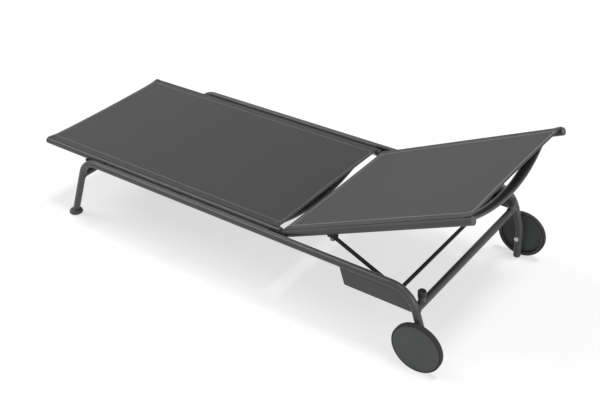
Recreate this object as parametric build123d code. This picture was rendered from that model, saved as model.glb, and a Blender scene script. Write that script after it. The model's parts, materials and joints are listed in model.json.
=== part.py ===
from build123d import *
import math
import os

# Reclining sun lounger on two bent side frames, with a fixed seat panel, a hinged back panel,
# a prop that sets the back's angle, ball feet at the foot end and wheels at the head end.
# Millimetres, +Z up, +X from the foot end to the head end, the sitter's left is -Y.
# The origin is on the ground under the middle of the lounger's length.

# Round tube used for the side frames, cross tubes and panel sides
TUBE_D = 28.0
TUBE_WALL = 2.2

# Side frames
RAIL_SPACING = 720.0
RAIL_Z = 288.0
BEND_R = 93.0
FRONT_OVERHANG = 256.5
FRONT_LEAN = 23.0
FRONT_LEG_END_Z = 9.0
REAR_SETBACK = 521.0
REAR_LEAN = 17.0
KINK_ABOVE_AXLE = 42.0
KINK_R = 200.0
REAR_LEG_END_Z = 10.0
FRONT_CROSS_DROP = 75.0
REAR_CROSS_DROP = 70.0

# Panels: side tubes with a groove for the sling's beaded edge
PANEL_GAP = 10.0
SEAT_SLING = 1191.0
BACK_SLING = 764.2
FREE_INSET = 10.5
SEAT_HINGE_INSET = 6.0
BACK_HINGE_INSET = 3.8
SLING_T = 1.4
SLING_CLEARANCE = 0.1
GROOVE_ANGLE = 98.0
GROOVE_DEPTH = 10.6
GROOVE_BORE_R = 2.6
GROOVE_WALL = 1.4
GROOVE_SLOT = 2.6
BEAD_CLEARANCE = 0.6
CAP_T = 4.0
CAP_EDGE = 2.0
CAP_PLUG = 4.5
PLUG_CLEARANCE = 0.1

# Bows: curved flat-oval cross bars under the slings
BOW_W = 46.0
BOW_T = 22.0
BOW_WALL = 2.0
BOW_DIP = 70.0
BOW_INSET = 72.0

# Recline hinge
REST_ANGLE = 24.0
RECLINE_MAX = 60.0
HINGE_GAP = 29.0
BACK_LEAD = 12.0
PIN_R = 4.0
PIN_HEAD_R = 8.0
PIN_HEAD_T = 5.0
BUSH_WALL = 1.2
RUNNING_CLEARANCE = 0.06
SIDE_CLEARANCE = 0.5
BRACKET_T = 8.0
BRACKET_H = 26.0
BRACKET_END_R = 13.0
BRACKET_SEAT_L = 30.0

# Seat fixings
SADDLE = 3.0
SPACER_H = 18.0
FRONT_SPACER_L = 93.0
FRONT_SPACER_SHIFT = -6.0
MIDDLE_SPACER_L = 40.0
MIDDLE_SPACER_SHIFT = 125.0
SCREW_R = 3.0
SCREW_HEAD_R = 6.0
SCREW_HEAD_T = 3.5

# Prop
PIVOT_ALONG = 211.0
PROP_LENGTH = 277.7
ROD_DROP = 51.0
ROD_D = 14.0
EYE_R = 10.0
EYE_GAP = 1.5
LUG_T = 4.0
LUG_R = 9.0
LUG_SPREAD = 17.0
WEB_T = 4.0
PIVOT_BOLT_R = 4.0
PIVOT_HEAD_R = 6.5
PIVOT_HEAD_T = 5.0
ROLLER_WALL = 2.5
ROLLER_L = 14.0

# Racks and their covers
COVER_T = 4.0
COVER_DROP = 83.0
COVER_SLANT = 23.0
COVER_CORNER_R = 6.0
RACK_T = 14.0
RACK_TOP_DROP = 41.0
RACK_MARGIN = 22.0
RACK_END_GAP = 0.6
RACK_FLOOR = 17.0
NOTCH_CLEARANCE = 0.7
NOTCH_TILT = 20.0
NOTCH_COUNT = 5

# Rest posts on the rear cross tube
POST_D = 26.0
PAD_WALL = 1.5
PAD_H = 22.0
PAD_TOP_T = 6.0
PAD_EDGE = 5.0
PAD_GAP = 0.3

# Feet and leg plugs
FOOT_D = 56.0
FOOT_FACE_D = 40.0
FOOT_SHOULDER_Z = 6.0
FOOT_SEAM_Z = 9.0
FOOT_SEAM = 0.6
FOOT_COLLAR_D = 31.0
FOOT_H = 20.0
LEG_PLUG_T = 6.0
LEG_PLUG_EDGE = 5.0
LEG_PLUG_L = 15.0

# Wheels
WHEEL_D = 186.0
WHEEL_W = 20.5
TYRE_T = 6.0
TYRE_EDGE = 4.0
RIM_T = 7.0
WEB_INSET = 8.7
WHEEL_WEB_T = 4.0
HUB_R = 15.0
AXLE_R = 5.0
AXLE_BUSH_WALL = 3.0
AXLE_HEAD_R = 9.0
AXLE_HEAD_T = 4.0
AXLE_SPACER_R = 9.0
AXLE_SPACER_T = 3.0
AXLE_NUT_R = 9.5
AXLE_NUT_T = 8.0
AXLE_NUT_CAP = 2.0
WHEEL_PLAY = 0.3
TYRE_SETBACK = 0.5
COVER_RIM_T = 2.2
COVER_DOME = 1.8
COVER_HEAD_GAP = 0.7
COVER_CLEARANCE = 0.3

# Places worked out from the sizes above
tube_r = TUBE_D / 2
rail_y = RAIL_SPACING / 2
panel_y = rail_y - TUBE_D - PANEL_GAP
rest = math.radians(REST_ANGLE)
seat_tube_l = SEAT_SLING + FREE_INSET + SEAT_HINGE_INSET
back_tube_l = BACK_SLING + FREE_INSET + BACK_HINGE_INSET
back_reach = back_tube_l - BACK_LEAD
rounded_reach = (back_reach + CAP_T - CAP_EDGE) * math.cos(rest)
back_span = rounded_reach + (tube_r - CAP_EDGE) * math.sin(rest) + CAP_EDGE
overall = CAP_T + seat_tube_l + HINGE_GAP + back_span
seat_x = CAP_T - overall / 2
seat_end_x = seat_x + seat_tube_l
hinge_x = seat_end_x + HINGE_GAP
front_x = seat_x + FRONT_OVERHANG
rear_x = hinge_x + REAR_SETBACK
wheel_r = WHEEL_D / 2
kink_z = wheel_r + KINK_ABOVE_AXLE
wheel_x = rear_x + (RAIL_Z - kink_z) * math.tan(math.radians(REAR_LEAN))
front_cross_z = RAIL_Z - FRONT_CROSS_DROP
rear_cross_z = RAIL_Z - REAR_CROSS_DROP
rear_cross_x = rear_x + REAR_CROSS_DROP * math.tan(math.radians(REAR_LEAN))
rod_r = ROD_D / 2
pivot_drop = tube_r + EYE_GAP + EYE_R
rod_z = RAIL_Z - ROD_DROP
roller_r = rod_r + ROLLER_WALL
rack_face_y = rail_y - COVER_T / 2 - RACK_T
rod_end_y = rack_face_y - RACK_END_GAP
groove = math.radians(GROOVE_ANGLE)
sling_inner_r = tube_r + SLING_CLEARANCE
sling_outer_r = sling_inner_r + SLING_T

os.makedirs("parts", exist_ok=True)


def front_leg_x(z):
    """Place of the front leg's axis at a height."""
    return front_x - (RAIL_Z - z) * math.tan(math.radians(FRONT_LEAN))


def bar(start, end, radius):
    """Solid round bar between two points."""
    axis = Vector(*end) - Vector(*start)
    return extrude(Plane(origin=start, z_dir=axis) * Circle(radius), amount=axis.length)


def y_bar(x, z, y_from, y_to, radius):
    """Solid round bar along Y."""
    return bar((x, y_from, z), (x, y_to, z), radius)


def block(x_range, y_range, z_range):
    """Box between two places on each axis."""
    size = [high - low for low, high in (x_range, y_range, z_range)]
    middle = [(high + low) / 2 for low, high in (x_range, y_range, z_range)]
    return Pos(*middle) * Box(*size)


def mirrored(piece):
    """The same piece on the sitter's right."""
    return mirror(piece, about=Plane.XZ)


def both(piece):
    """Left piece and its mirror image, as one list."""
    return [piece, mirrored(piece)]


def reclined(piece):
    """A piece of the back panel, drawn flat, turned up to the rest angle about the hinge axis."""
    hinge = Pos(hinge_x, 0, RAIL_Z)
    return hinge * Rot(0, -REST_ANGLE, 0) * hinge.inverse() * piece


def save(name, *pieces):
    """Write one node."""
    solids = [solid for piece in pieces for solid in piece.solids()]
    shape = solids[0] if len(solids) == 1 else Compound(children=solids)
    export_step(shape, f"parts/{name}.step")


def save_pair(name, left):
    """Write a left node and its mirror image."""
    save(f"{name}_left", left)
    save(f"{name}_right", mirrored(left))


# Side frames

def frame_path():
    """Axis of the left side frame: front leg, rail, leaning rear leg and its upright end."""
    return FilletPolyline(
        (front_leg_x(FRONT_LEG_END_Z), -rail_y, FRONT_LEG_END_Z),
        (front_x, -rail_y, RAIL_Z),
        (rear_x, -rail_y, RAIL_Z),
        (wheel_x, -rail_y, kink_z),
        (wheel_x, -rail_y, REAR_LEG_END_Z),
        radius=[BEND_R, BEND_R, KINK_R],
    )


def along(path, radius):
    """Solid round bar along a path."""
    return sweep(Plane(origin=path @ 0, z_dir=path % 0) * Circle(radius), path=path)


frame_core = along(frame_path(), tube_r)
frame_cores = frame_core + mirrored(frame_core)
front_spacer_x = front_x + FRONT_SPACER_SHIFT + FRONT_SPACER_L / 2
middle_spacer_x = (seat_x + seat_end_x) / 2 + MIDDLE_SPACER_SHIFT
bracket_screw_x = seat_end_x - BRACKET_SEAT_L / 2
screw_places = [front_spacer_x, middle_spacer_x, bracket_screw_x]
screw_tip_y = rail_y - tube_r + 2 * TUBE_WALL
screw_head_y = panel_y - tube_r


def seat_screw(x):
    """Screw from the seat tube's inner side through a spacer into the rail's inner wall."""
    shank = y_bar(x, RAIL_Z, -screw_tip_y, -screw_head_y, SCREW_R)
    return shank + y_bar(x, RAIL_Z, -screw_head_y, -screw_head_y + SCREW_HEAD_T, SCREW_HEAD_R)


seat_screws = [seat_screw(x) for x in screw_places]
axle_bore = y_bar(wheel_x, wheel_r, -rail_y - TUBE_D, -rail_y + TUBE_D, AXLE_R)
cross_core = y_bar(rear_cross_x, rear_cross_z, -rail_y, rail_y, tube_r)


def side_frame():
    """Bent tube with its axle hole and screw holes."""
    tube = frame_core - along(frame_path(), tube_r - TUBE_WALL) - axle_bore
    for screw in seat_screws:
        tube -= screw
    return tube


def cross_tube(x, z):
    """Tube between the two legs, coped to them."""
    tube = y_bar(x, z, -rail_y, rail_y, tube_r) - y_bar(x, z, -rail_y, rail_y, tube_r - TUBE_WALL)
    return tube - frame_cores


save_pair("side_frame", side_frame())
save("front_cross_tube", cross_tube(front_leg_x(front_cross_z), front_cross_z))
save("rear_cross_tube", cross_tube(rear_cross_x, rear_cross_z))


# Panel side tubes, slings and bows

def panel_section():
    """Section of the left side tube, x towards the panel, y up: a ring, the groove's bore and slot."""
    centre = (GROOVE_DEPTH * math.cos(groove), GROOVE_DEPTH * math.sin(groove))
    ring = Circle(tube_r) - Circle(tube_r - TUBE_WALL)
    boss = Pos(*centre) * Circle(GROOVE_BORE_R + GROOVE_WALL) & Circle(tube_r)
    slot = Rot(0, 0, GROOVE_ANGLE) * Pos(tube_r, 0) * Rectangle(2 * (tube_r - GROOVE_DEPTH), GROOVE_SLOT)
    return (ring + boss) - Pos(*centre) * Circle(GROOVE_BORE_R) - slot


def panel_tube(x_from, length):
    """Left side tube of a panel lying flat at rail height."""
    plane = Plane(origin=(x_from, -panel_y, RAIL_Z), x_dir=(0, 1, 0), z_dir=(1, 0, 0))
    return extrude(plane * panel_section(), amount=length)


def panel_core(x_from, length):
    """The space that a left side tube fills."""
    return bar((x_from, -panel_y, RAIL_Z), (x_from + length, -panel_y, RAIL_Z), tube_r)


def sling(x_from, length):
    """Woven sheet that lies on both side tubes, goes over them to the slots and ends in beads."""
    bead_r = GROOVE_BORE_R - BEAD_CLEARANCE
    tail_l = (sling_inner_r + sling_outer_r) / 2 - GROOVE_DEPTH
    section = Pos(0, sling_inner_r + SLING_T / 2) * Rectangle(2 * panel_y, SLING_T)
    reach = 2 * sling_outer_r
    turn = math.radians(GROOVE_ANGLE - 90)
    for side in (-1, 1):
        wedge = make_face(Polyline(
            (0, 0),
            (0, reach),
            (side * reach * math.tan(turn), reach),
            close=True,
        ))
        over = Circle(sling_outer_r) - Circle(sling_inner_r)
        section += Pos(side * panel_y, 0) * (over & wedge)
        slant = Pos(side * panel_y, 0) * Rot(0, 0, 90 - side * (GROOVE_ANGLE - 90))
        section += slant * Pos(GROOVE_DEPTH + tail_l / 2, 0) * Rectangle(tail_l, SLING_T)
        section += slant * Pos(GROOVE_DEPTH + tail_l, 0) * Circle(SLING_T / 2)
        section += slant * Pos(GROOVE_DEPTH, 0) * Circle(bead_r)
    plane = Plane(origin=(x_from, 0, RAIL_Z), x_dir=(0, 1, 0), z_dir=(1, 0, 0))
    return extrude(plane * section, amount=length)


def bow(x):
    """Hollow oval bar on a shallow arc between the two side tubes, coped to them."""
    ends = [(x, side * panel_y, RAIL_Z) for side in (-1, 1)]
    path = ThreePointArc(ends[0], (x, 0, RAIL_Z - BOW_DIP), ends[1])
    plane = Plane(origin=path @ 0, x_dir=(1, 0, 0), z_dir=path % 0)
    outer = sweep(plane * Ellipse(BOW_W / 2, BOW_T / 2), path=path)
    inner = sweep(plane * Ellipse(BOW_W / 2 - BOW_WALL, BOW_T / 2 - BOW_WALL), path=path)
    cores = panel_core(x - BOW_W, 2 * BOW_W)
    return outer - inner - cores - mirrored(cores)


def end_cap(x, outward):
    """Moulded cap on a left side tube's end, with a short plug that clears the groove's boss."""
    flange = bar((x, -panel_y, RAIL_Z), (x + outward * CAP_T, -panel_y, RAIL_Z), tube_r)
    rim = flange.edges().group_by(Axis.X)[-1 if outward > 0 else 0]
    flange = fillet(rim, CAP_EDGE)
    plug_end = x - outward * CAP_PLUG
    plug_r = tube_r - TUBE_WALL - PLUG_CLEARANCE
    plug = bar((x, -panel_y, RAIL_Z), (plug_end, -panel_y, RAIL_Z), plug_r)
    boss_y = -panel_y + GROOVE_DEPTH * math.cos(groove)
    boss_z = RAIL_Z + GROOVE_DEPTH * math.sin(groove)
    boss_r = GROOVE_BORE_R + GROOVE_WALL + PLUG_CLEARANCE
    return flange + (plug - bar((x, boss_y, boss_z), (plug_end, boss_y, boss_z), boss_r))


seat_tube = panel_tube(seat_x, seat_tube_l)
for screw in seat_screws:
    seat_tube -= screw
seat_bow_places = {
    "seat_foot_bow": seat_x + FREE_INSET + BOW_INSET,
    "seat_middle_bow": (seat_x + seat_end_x) / 2,
    "seat_hinge_bow": seat_end_x - SEAT_HINGE_INSET - BOW_INSET,
}
save_pair("seat_tube", seat_tube)
save("seat_sling", sling(seat_x + FREE_INSET, SEAT_SLING))
for name, place in seat_bow_places.items():
    save(name, bow(place))
save("seat_end_caps", *both(end_cap(seat_x, -1)), *both(end_cap(seat_end_x, 1)))


# Fixings between the seat and the side frames

def spacer(x, length, screw):
    """Block in the gap between a rail and a seat tube, hollowed to both, with a screw through it."""
    y_range = (-(rail_y - tube_r + SADDLE), -(panel_y + tube_r - SADDLE))
    z_range = (RAIL_Z - SPACER_H / 2, RAIL_Z + SPACER_H / 2)
    body = block((x - length / 2, x + length / 2), y_range, z_range)
    return body - frame_core - panel_core(seat_x, seat_tube_l) - screw


def hinge_bracket():
    """Saddle plate on a rail: it holds the seat tube's end and the back's hinge pin."""
    outer_y = -(rail_y - tube_r + SADDLE)
    inner_y = -(rail_y - tube_r - BRACKET_T)
    z_range = (RAIL_Z - BRACKET_H / 2, RAIL_Z + BRACKET_H / 2)
    plate = block((seat_end_x - BRACKET_SEAT_L, hinge_x), (outer_y, inner_y), z_range)
    plate += y_bar(hinge_x, RAIL_Z, outer_y, inner_y, BRACKET_END_R)
    pad_y = -(panel_y + tube_r - SADDLE)
    pad_z_range = (RAIL_Z - BRACKET_H / 2, RAIL_Z + SPACER_H / 2)
    plate += block((seat_end_x - BRACKET_SEAT_L, seat_end_x), (outer_y, pad_y), pad_z_range)
    plate -= frame_core
    plate -= panel_core(seat_x, seat_tube_l)
    return plate - seat_screws[2] - hinge_pin()


def hinge_pin():
    """Shouldered pin along the recline axis, headed on the panel's inner side."""
    head_y = -(panel_y - tube_r - SIDE_CLEARANCE - BUSH_WALL)
    shank = y_bar(hinge_x, RAIL_Z, -(rail_y - tube_r - SIDE_CLEARANCE), head_y, PIN_R)
    return shank + y_bar(hinge_x, RAIL_Z, head_y, head_y + PIN_HEAD_T, PIN_HEAD_R)


def hinge_bush():
    """Plain bush in the back tube, round the hinge pin."""
    outer_y = -(rail_y - tube_r - BRACKET_T - SIDE_CLEARANCE)
    inner_y = -(panel_y - tube_r - BUSH_WALL)
    body = y_bar(hinge_x, RAIL_Z, outer_y, inner_y, PIN_R + RUNNING_CLEARANCE + BUSH_WALL)
    return body - y_bar(hinge_x, RAIL_Z, outer_y, inner_y, PIN_R + RUNNING_CLEARANCE)


front_spacer = spacer(front_spacer_x, FRONT_SPACER_L, seat_screws[0])
middle_spacer = spacer(middle_spacer_x, MIDDLE_SPACER_L, seat_screws[1])
save("seat_spacers", *both(front_spacer), *both(middle_spacer))
save("seat_screws", *[piece for screw in seat_screws for piece in both(screw)])
save_pair("hinge_bracket", hinge_bracket())
save_pair("hinge_pin", hinge_pin())


# Back panel

pivot_flat = (hinge_x + PIVOT_ALONG, RAIL_Z - pivot_drop)
lug_inner = rod_r + SIDE_CLEARANCE
lug_outer = lug_inner + LUG_T


def back_tube():
    """Left side tube of the back, drilled for the hinge bush."""
    tube = panel_tube(hinge_x - BACK_LEAD, back_tube_l)
    bore_r = PIN_R + RUNNING_CLEARANCE + BUSH_WALL
    return tube - y_bar(hinge_x, RAIL_Z, -panel_y - TUBE_D, -panel_y + TUBE_D, bore_r)


def prop_bracket():
    """Two lugs and a web welded under a back tube, the web cut away round the prop arm's eye."""
    x, z = pivot_flat
    core = panel_core(hinge_x - BACK_LEAD, back_tube_l)
    bracket = block(
        (x - LUG_SPREAD, x + LUG_R),
        (-panel_y - lug_outer, -panel_y + lug_outer),
        (RAIL_Z - tube_r - WEB_T, RAIL_Z),
    )
    for side in (-1, 1):
        y_range = sorted((-panel_y + side * lug_inner, -panel_y + side * lug_outer))
        bracket += y_bar(x, z, y_range[0], y_range[1], LUG_R)
        bracket += block((x - LUG_R, x + LUG_R), y_range, (z, RAIL_Z))
    bracket -= y_bar(x, z, -panel_y - lug_inner, -panel_y + lug_inner, EYE_R + EYE_GAP / 2)
    return bracket - core - y_bar(x, z, -panel_y - TUBE_D, -panel_y + TUBE_D, PIVOT_BOLT_R)


def pivot_bolt():
    """Bolt through the lugs and the prop arm's eye, headed on the outer side."""
    x, z = pivot_flat
    shank = y_bar(x, z, -panel_y - lug_outer, -panel_y + lug_outer + PIVOT_HEAD_T, PIVOT_BOLT_R)
    return shank + y_bar(x, z, -panel_y - lug_outer - PIVOT_HEAD_T, -panel_y - lug_outer, PIVOT_HEAD_R)


def pivot_nut():
    """Hexagon nut on the inner end of the pivot bolt."""
    x, z = pivot_flat
    plane = Plane(origin=(x, -panel_y + lug_outer, z), z_dir=(0, 1, 0))
    return extrude(plane * RegularPolygon(PIVOT_HEAD_R, 6), amount=PIVOT_HEAD_T) - pivot_bolt()


back_bow_places = {
    "back_hinge_bow": hinge_x - BACK_LEAD + BACK_HINGE_INSET + BOW_INSET,
    "back_head_bow": hinge_x + back_reach - FREE_INSET - BOW_INSET,
}
save_pair("back_tube", reclined(back_tube()))
save("back_sling", reclined(sling(hinge_x - BACK_LEAD + BACK_HINGE_INSET, BACK_SLING)))
for name, place in back_bow_places.items():
    save(name, reclined(bow(place)))
back_caps = both(end_cap(hinge_x - BACK_LEAD, -1)) + both(end_cap(hinge_x + back_reach, 1))
save("back_end_caps", *[reclined(cap) for cap in back_caps])
save("hinge_bushes", *[reclined(bush) for bush in both(hinge_bush())])
save_pair("prop_bracket", reclined(prop_bracket()))
save("prop_bolts", *[reclined(bolt) for bolt in both(pivot_bolt())])
save("prop_nuts", *[reclined(nut) for nut in both(pivot_nut())])


# Prop

def pivot_at(angle):
    """Place of the prop's pivot when the back stands at an angle in degrees."""
    turn = math.radians(angle)
    x = hinge_x + PIVOT_ALONG * math.cos(turn) + pivot_drop * math.sin(turn)
    z = RAIL_Z + PIVOT_ALONG * math.sin(turn) - pivot_drop * math.cos(turn)
    return x, z


def rod_x_at(angle):
    """Place along the racks of the prop's cross rod when the back stands at an angle."""
    x, z = pivot_at(angle)
    return x + math.sqrt(PROP_LENGTH**2 - (z - rod_z) ** 2)


rod_x = rod_x_at(REST_ANGLE)


def prop_arm():
    """Round arm with an eye at the pivot, coped to the cross rod."""
    x, z = pivot_at(REST_ANGLE)
    arm = bar((x, -panel_y, z), (rod_x, -panel_y, rod_z), rod_r)
    arm += y_bar(x, z, -panel_y - rod_r, -panel_y + rod_r, EYE_R)
    arm -= y_bar(rod_x, rod_z, -rail_y, 0, rod_r)
    return arm - y_bar(x, z, -rail_y, 0, PIVOT_BOLT_R + RUNNING_CLEARANCE)


def rod_roller():
    """Sleeve on the left end of the cross rod."""
    sleeve = y_bar(rod_x, rod_z, -rod_end_y, -rod_end_y + ROLLER_L, roller_r)
    return sleeve - y_bar(rod_x, rod_z, -rod_end_y, -rod_end_y + ROLLER_L, rod_r)


save_pair("prop_arm", prop_arm())
save("prop_rod", y_bar(rod_x, rod_z, -rod_end_y, rod_end_y, rod_r))
save("rod_rollers", *both(rod_roller()))


# Racks and covers

notch_step = (RECLINE_MAX - REST_ANGLE) / (NOTCH_COUNT - 1)
notch_places = [rod_x_at(REST_ANGLE + index * notch_step) for index in range(NOTCH_COUNT)]
rack_x_range = (min(notch_places) - RACK_MARGIN, max(notch_places) + RACK_MARGIN)
rack_y_range = (-(rack_face_y + RACK_T), -rack_face_y)
rack_top_z = RAIL_Z - RACK_TOP_DROP
rack_low_z = rod_z - roller_r - RACK_FLOOR


def rack_screw(x):
    """Screw through a rack into its cover."""
    z = (rack_low_z + rod_z - roller_r) / 2
    shank = y_bar(x, z, -(rail_y - COVER_T / 2 + COVER_T / 2), -rack_face_y, SCREW_R)
    return shank + y_bar(x, z, -rack_face_y, -rack_face_y + SCREW_HEAD_T, SCREW_HEAD_R)


rack_screws = [rack_screw(sum(notch_places[i : i + 2]) / 2) for i in (0, NOTCH_COUNT - 2)]


def rack():
    """Moulded strip with a leaning notch for each position of the back."""
    strip = block(rack_x_range, rack_y_range, (rack_low_z, rack_top_z))
    notch_r = roller_r + NOTCH_CLEARANCE
    reach = 2 * (rack_top_z - rod_z)
    notch_y = -rack_face_y - RACK_T / 2
    for place in notch_places:
        opening = Pos(0, 0, reach / 2) * Box(2 * notch_r, 2 * RACK_T, reach)
        strip -= Pos(place, notch_y, rod_z) * Rot(0, -NOTCH_TILT, 0) * opening
        strip -= y_bar(place, rod_z, notch_y - RACK_T, notch_y + RACK_T, notch_r)
    for screw in rack_screws:
        strip -= screw
    return strip


def rack_cover():
    """Plate under the rail, closed against the rail's bend and the rear leg."""
    low_z = RAIL_Z - COVER_DROP
    corner_x = rack_x_range[0] - COVER_CORNER_R
    leg_x = rear_x + COVER_DROP * math.tan(math.radians(REAR_LEAN))
    outline = FilletPolyline(
        (corner_x - COVER_SLANT, -rail_y, RAIL_Z),
        (corner_x, -rail_y, low_z),
        (leg_x, -rail_y, low_z),
        (rear_x, -rail_y, RAIL_Z),
        radius=[0, COVER_CORNER_R, 0, BEND_R],
        close=True,
    )
    plate = extrude(make_face(outline), amount=COVER_T / 2, dir=(0, 1, 0), both=True)
    plate -= frame_core
    plate -= cross_core
    for screw in rack_screws:
        plate -= screw
    return plate


save_pair("rack", rack())
save_pair("rack_cover", rack_cover())
save("rack_screws", *[piece for screw in rack_screws for piece in both(screw)])


# Rest posts

pad_top_z = RAIL_Z - tube_r - PAD_GAP
post_top_z = pad_top_z - PAD_TOP_T
post = bar((rear_cross_x, -panel_y, rear_cross_z), (rear_cross_x, -panel_y, post_top_z), POST_D / 2)
pad_low_z = pad_top_z - PAD_H
pad = bar((rear_cross_x, -panel_y, pad_low_z), (rear_cross_x, -panel_y, pad_top_z), POST_D / 2 + PAD_WALL)
pad = fillet(pad.edges().group_by(Axis.Z)[-1], PAD_EDGE)
save_pair("rest_post", post - cross_core)
save_pair("rest_pad", pad - post - cross_core)


# Feet and leg plugs

def front_foot():
    """Flattened ball with a flat underside, a seam round its middle and a collar for the leg."""
    foot_r = FOOT_D / 2
    seam_r = foot_r - FOOT_SEAM
    low_bulge = (foot_r - (foot_r - FOOT_FACE_D / 2) * 0.3, FOOT_SHOULDER_Z * 0.3)
    side = Line((foot_r, FOOT_SHOULDER_Z), (foot_r, FOOT_SEAM_Z - FOOT_SEAM))
    collar_r = FOOT_COLLAR_D / 2
    high_bulge = (seam_r - (seam_r - collar_r) * 0.35, FOOT_SEAM_Z + (FOOT_H - FOOT_SEAM_Z) * 0.7)
    outline = [
        Line((0, 0), (FOOT_FACE_D / 2, 0)),
        ThreePointArc((FOOT_FACE_D / 2, 0), low_bulge, (foot_r, FOOT_SHOULDER_Z)),
        side,
        Line((foot_r, FOOT_SEAM_Z - FOOT_SEAM), (seam_r, FOOT_SEAM_Z)),
        ThreePointArc((seam_r, FOOT_SEAM_Z), high_bulge, (collar_r, FOOT_H)),
        Line((collar_r, FOOT_H), (0, FOOT_H)),
        Line((0, FOOT_H), (0, 0)),
    ]
    face = make_face(Plane.XZ * Curve(outline))
    ball = revolve(face, axis=Axis.Z)
    return Pos(front_leg_x(FOOT_H / 2), -rail_y, 0) * ball - frame_core


def leg_plug():
    """Plug with a rounded end in the lower end of a rear leg."""
    low_z = REAR_LEG_END_Z - LEG_PLUG_T
    head = bar((wheel_x, -rail_y, low_z), (wheel_x, -rail_y, REAR_LEG_END_Z), tube_r)
    head = fillet(head.edges().group_by(Axis.Z)[0], LEG_PLUG_EDGE)
    stem_r = tube_r - TUBE_WALL
    top_z = REAR_LEG_END_Z + LEG_PLUG_L
    return head + bar((wheel_x, -rail_y, REAR_LEG_END_Z), (wheel_x, -rail_y, top_z), stem_r)


save_pair("front_foot", front_foot())
save_pair("rear_leg_plug", leg_plug())


# Wheels and axles, stacked outwards from the rear leg

leg_face = rail_y + tube_r
spacer_face = leg_face + AXLE_SPACER_T
hub_face = spacer_face + WHEEL_PLAY
tyre_face = hub_face + TYRE_SETBACK
tyre_end = tyre_face + WHEEL_W
web_face = tyre_face + WEB_INSET
web_end = web_face + WHEEL_WEB_T
head_face = web_end + WHEEL_PLAY
cover_face = head_face + AXLE_HEAD_T + COVER_HEAD_GAP
rim_r = wheel_r - TYRE_T
cover_r = rim_r - COVER_CLEARANCE


def disc(start, end, radius):
    """Disc on the left wheel's axis between two distances from the middle of the lounger."""
    return y_bar(wheel_x, wheel_r, -end, -start, radius)


def tyre():
    """Rubber ring with rounded outer edges."""
    ring = disc(tyre_face, tyre_end, wheel_r)
    ring = fillet(ring.edges().filter_by(GeomType.CIRCLE), TYRE_EDGE)
    return ring - disc(tyre_face, tyre_end, rim_r)


def wheel_hub():
    """Rim, web and boss, hollow towards the leg; its rim ends under the cover."""
    hub = disc(tyre_face, tyre_end, rim_r) - disc(tyre_face, tyre_end, rim_r - RIM_T)
    hub += disc(web_face, web_end, rim_r)
    hub += disc(hub_face, web_end, HUB_R)
    hub -= disc(cover_face, tyre_end, rim_r)
    return hub - disc(hub_face, web_end, AXLE_R + RUNNING_CLEARANCE + AXLE_BUSH_WALL)


def wheel_cover():
    """Smooth, slightly domed cover over the hub's outer side."""
    crown = cover_face + COVER_RIM_T + COVER_DOME
    dome_r = (cover_r**2 + COVER_DOME**2) / (2 * COVER_DOME)
    ball = Pos(wheel_x, dome_r - crown, wheel_r) * Sphere(dome_r)
    return disc(cover_face, crown, cover_r) & ball


def wheel_bush():
    """Plain bush in the hub, round the axle."""
    body = disc(hub_face, web_end, AXLE_R + RUNNING_CLEARANCE + AXLE_BUSH_WALL)
    return body - disc(hub_face, web_end, AXLE_R + RUNNING_CLEARANCE)


def axle_bolt():
    """Shouldered bolt through the leg and the hub, headed under the wheel cover."""
    shank = disc(rail_y - tube_r - AXLE_NUT_T + AXLE_NUT_CAP, head_face, AXLE_R)
    return shank + disc(head_face, head_face + AXLE_HEAD_T, AXLE_HEAD_R)


def axle_nut():
    """Domed nut on the inner side of the leg."""
    start = -(rail_y - tube_r)
    plane = Plane(origin=(wheel_x, start, wheel_r), z_dir=(0, 1, 0))
    nut = extrude(plane * RegularPolygon(AXLE_NUT_R, 6), amount=AXLE_NUT_T)
    return nut - axle_bolt()


def axle_spacer():
    """Collar between the leg and the wheel, hollowed to the leg."""
    collar = disc(rail_y, spacer_face, AXLE_SPACER_R) - frame_core
    return collar - disc(rail_y, spacer_face, AXLE_R)


for name, piece in {
    "wheel_tyre": tyre(),
    "wheel_hub": wheel_hub(),
    "wheel_cover": wheel_cover(),
    "wheel_bush": wheel_bush(),
    "axle_bolt": axle_bolt(),
}.items():
    save_pair(name, piece)
save("axle_nuts", *both(axle_nut()))
save("axle_spacers", *both(axle_spacer()))
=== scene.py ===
import json
import math

import bpy
import numpy as np
from mathutils import Matrix, Vector


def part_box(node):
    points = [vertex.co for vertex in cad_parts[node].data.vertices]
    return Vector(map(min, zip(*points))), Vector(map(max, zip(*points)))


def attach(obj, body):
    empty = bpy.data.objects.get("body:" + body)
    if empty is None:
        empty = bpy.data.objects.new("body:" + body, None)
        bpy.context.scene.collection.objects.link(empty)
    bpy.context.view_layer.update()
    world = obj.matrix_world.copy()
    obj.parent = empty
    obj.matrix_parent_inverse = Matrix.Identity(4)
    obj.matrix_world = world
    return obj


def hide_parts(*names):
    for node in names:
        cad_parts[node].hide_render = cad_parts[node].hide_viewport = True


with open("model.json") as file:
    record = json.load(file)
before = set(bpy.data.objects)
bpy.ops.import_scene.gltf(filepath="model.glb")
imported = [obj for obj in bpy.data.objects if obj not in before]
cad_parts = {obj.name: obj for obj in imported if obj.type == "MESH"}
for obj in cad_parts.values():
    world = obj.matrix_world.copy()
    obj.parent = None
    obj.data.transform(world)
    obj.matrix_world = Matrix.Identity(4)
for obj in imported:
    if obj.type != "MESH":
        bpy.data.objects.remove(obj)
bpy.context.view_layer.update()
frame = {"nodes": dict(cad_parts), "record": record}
nodes = frame["nodes"]

# Reclining sun lounger. Metres, +X from the foot end to the head end, +Z up, the sitter's left is -Y.

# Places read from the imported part
foot_edge_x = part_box("seat_sling")[0].x
seat_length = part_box("seat_sling")[1].x - foot_edge_x
hinge_low, hinge_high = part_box("hinge_pin_left")
hinge_x = (hinge_low.x + hinge_high.x) / 2
rail_z = (hinge_low.z + hinge_high.z) / 2

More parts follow.
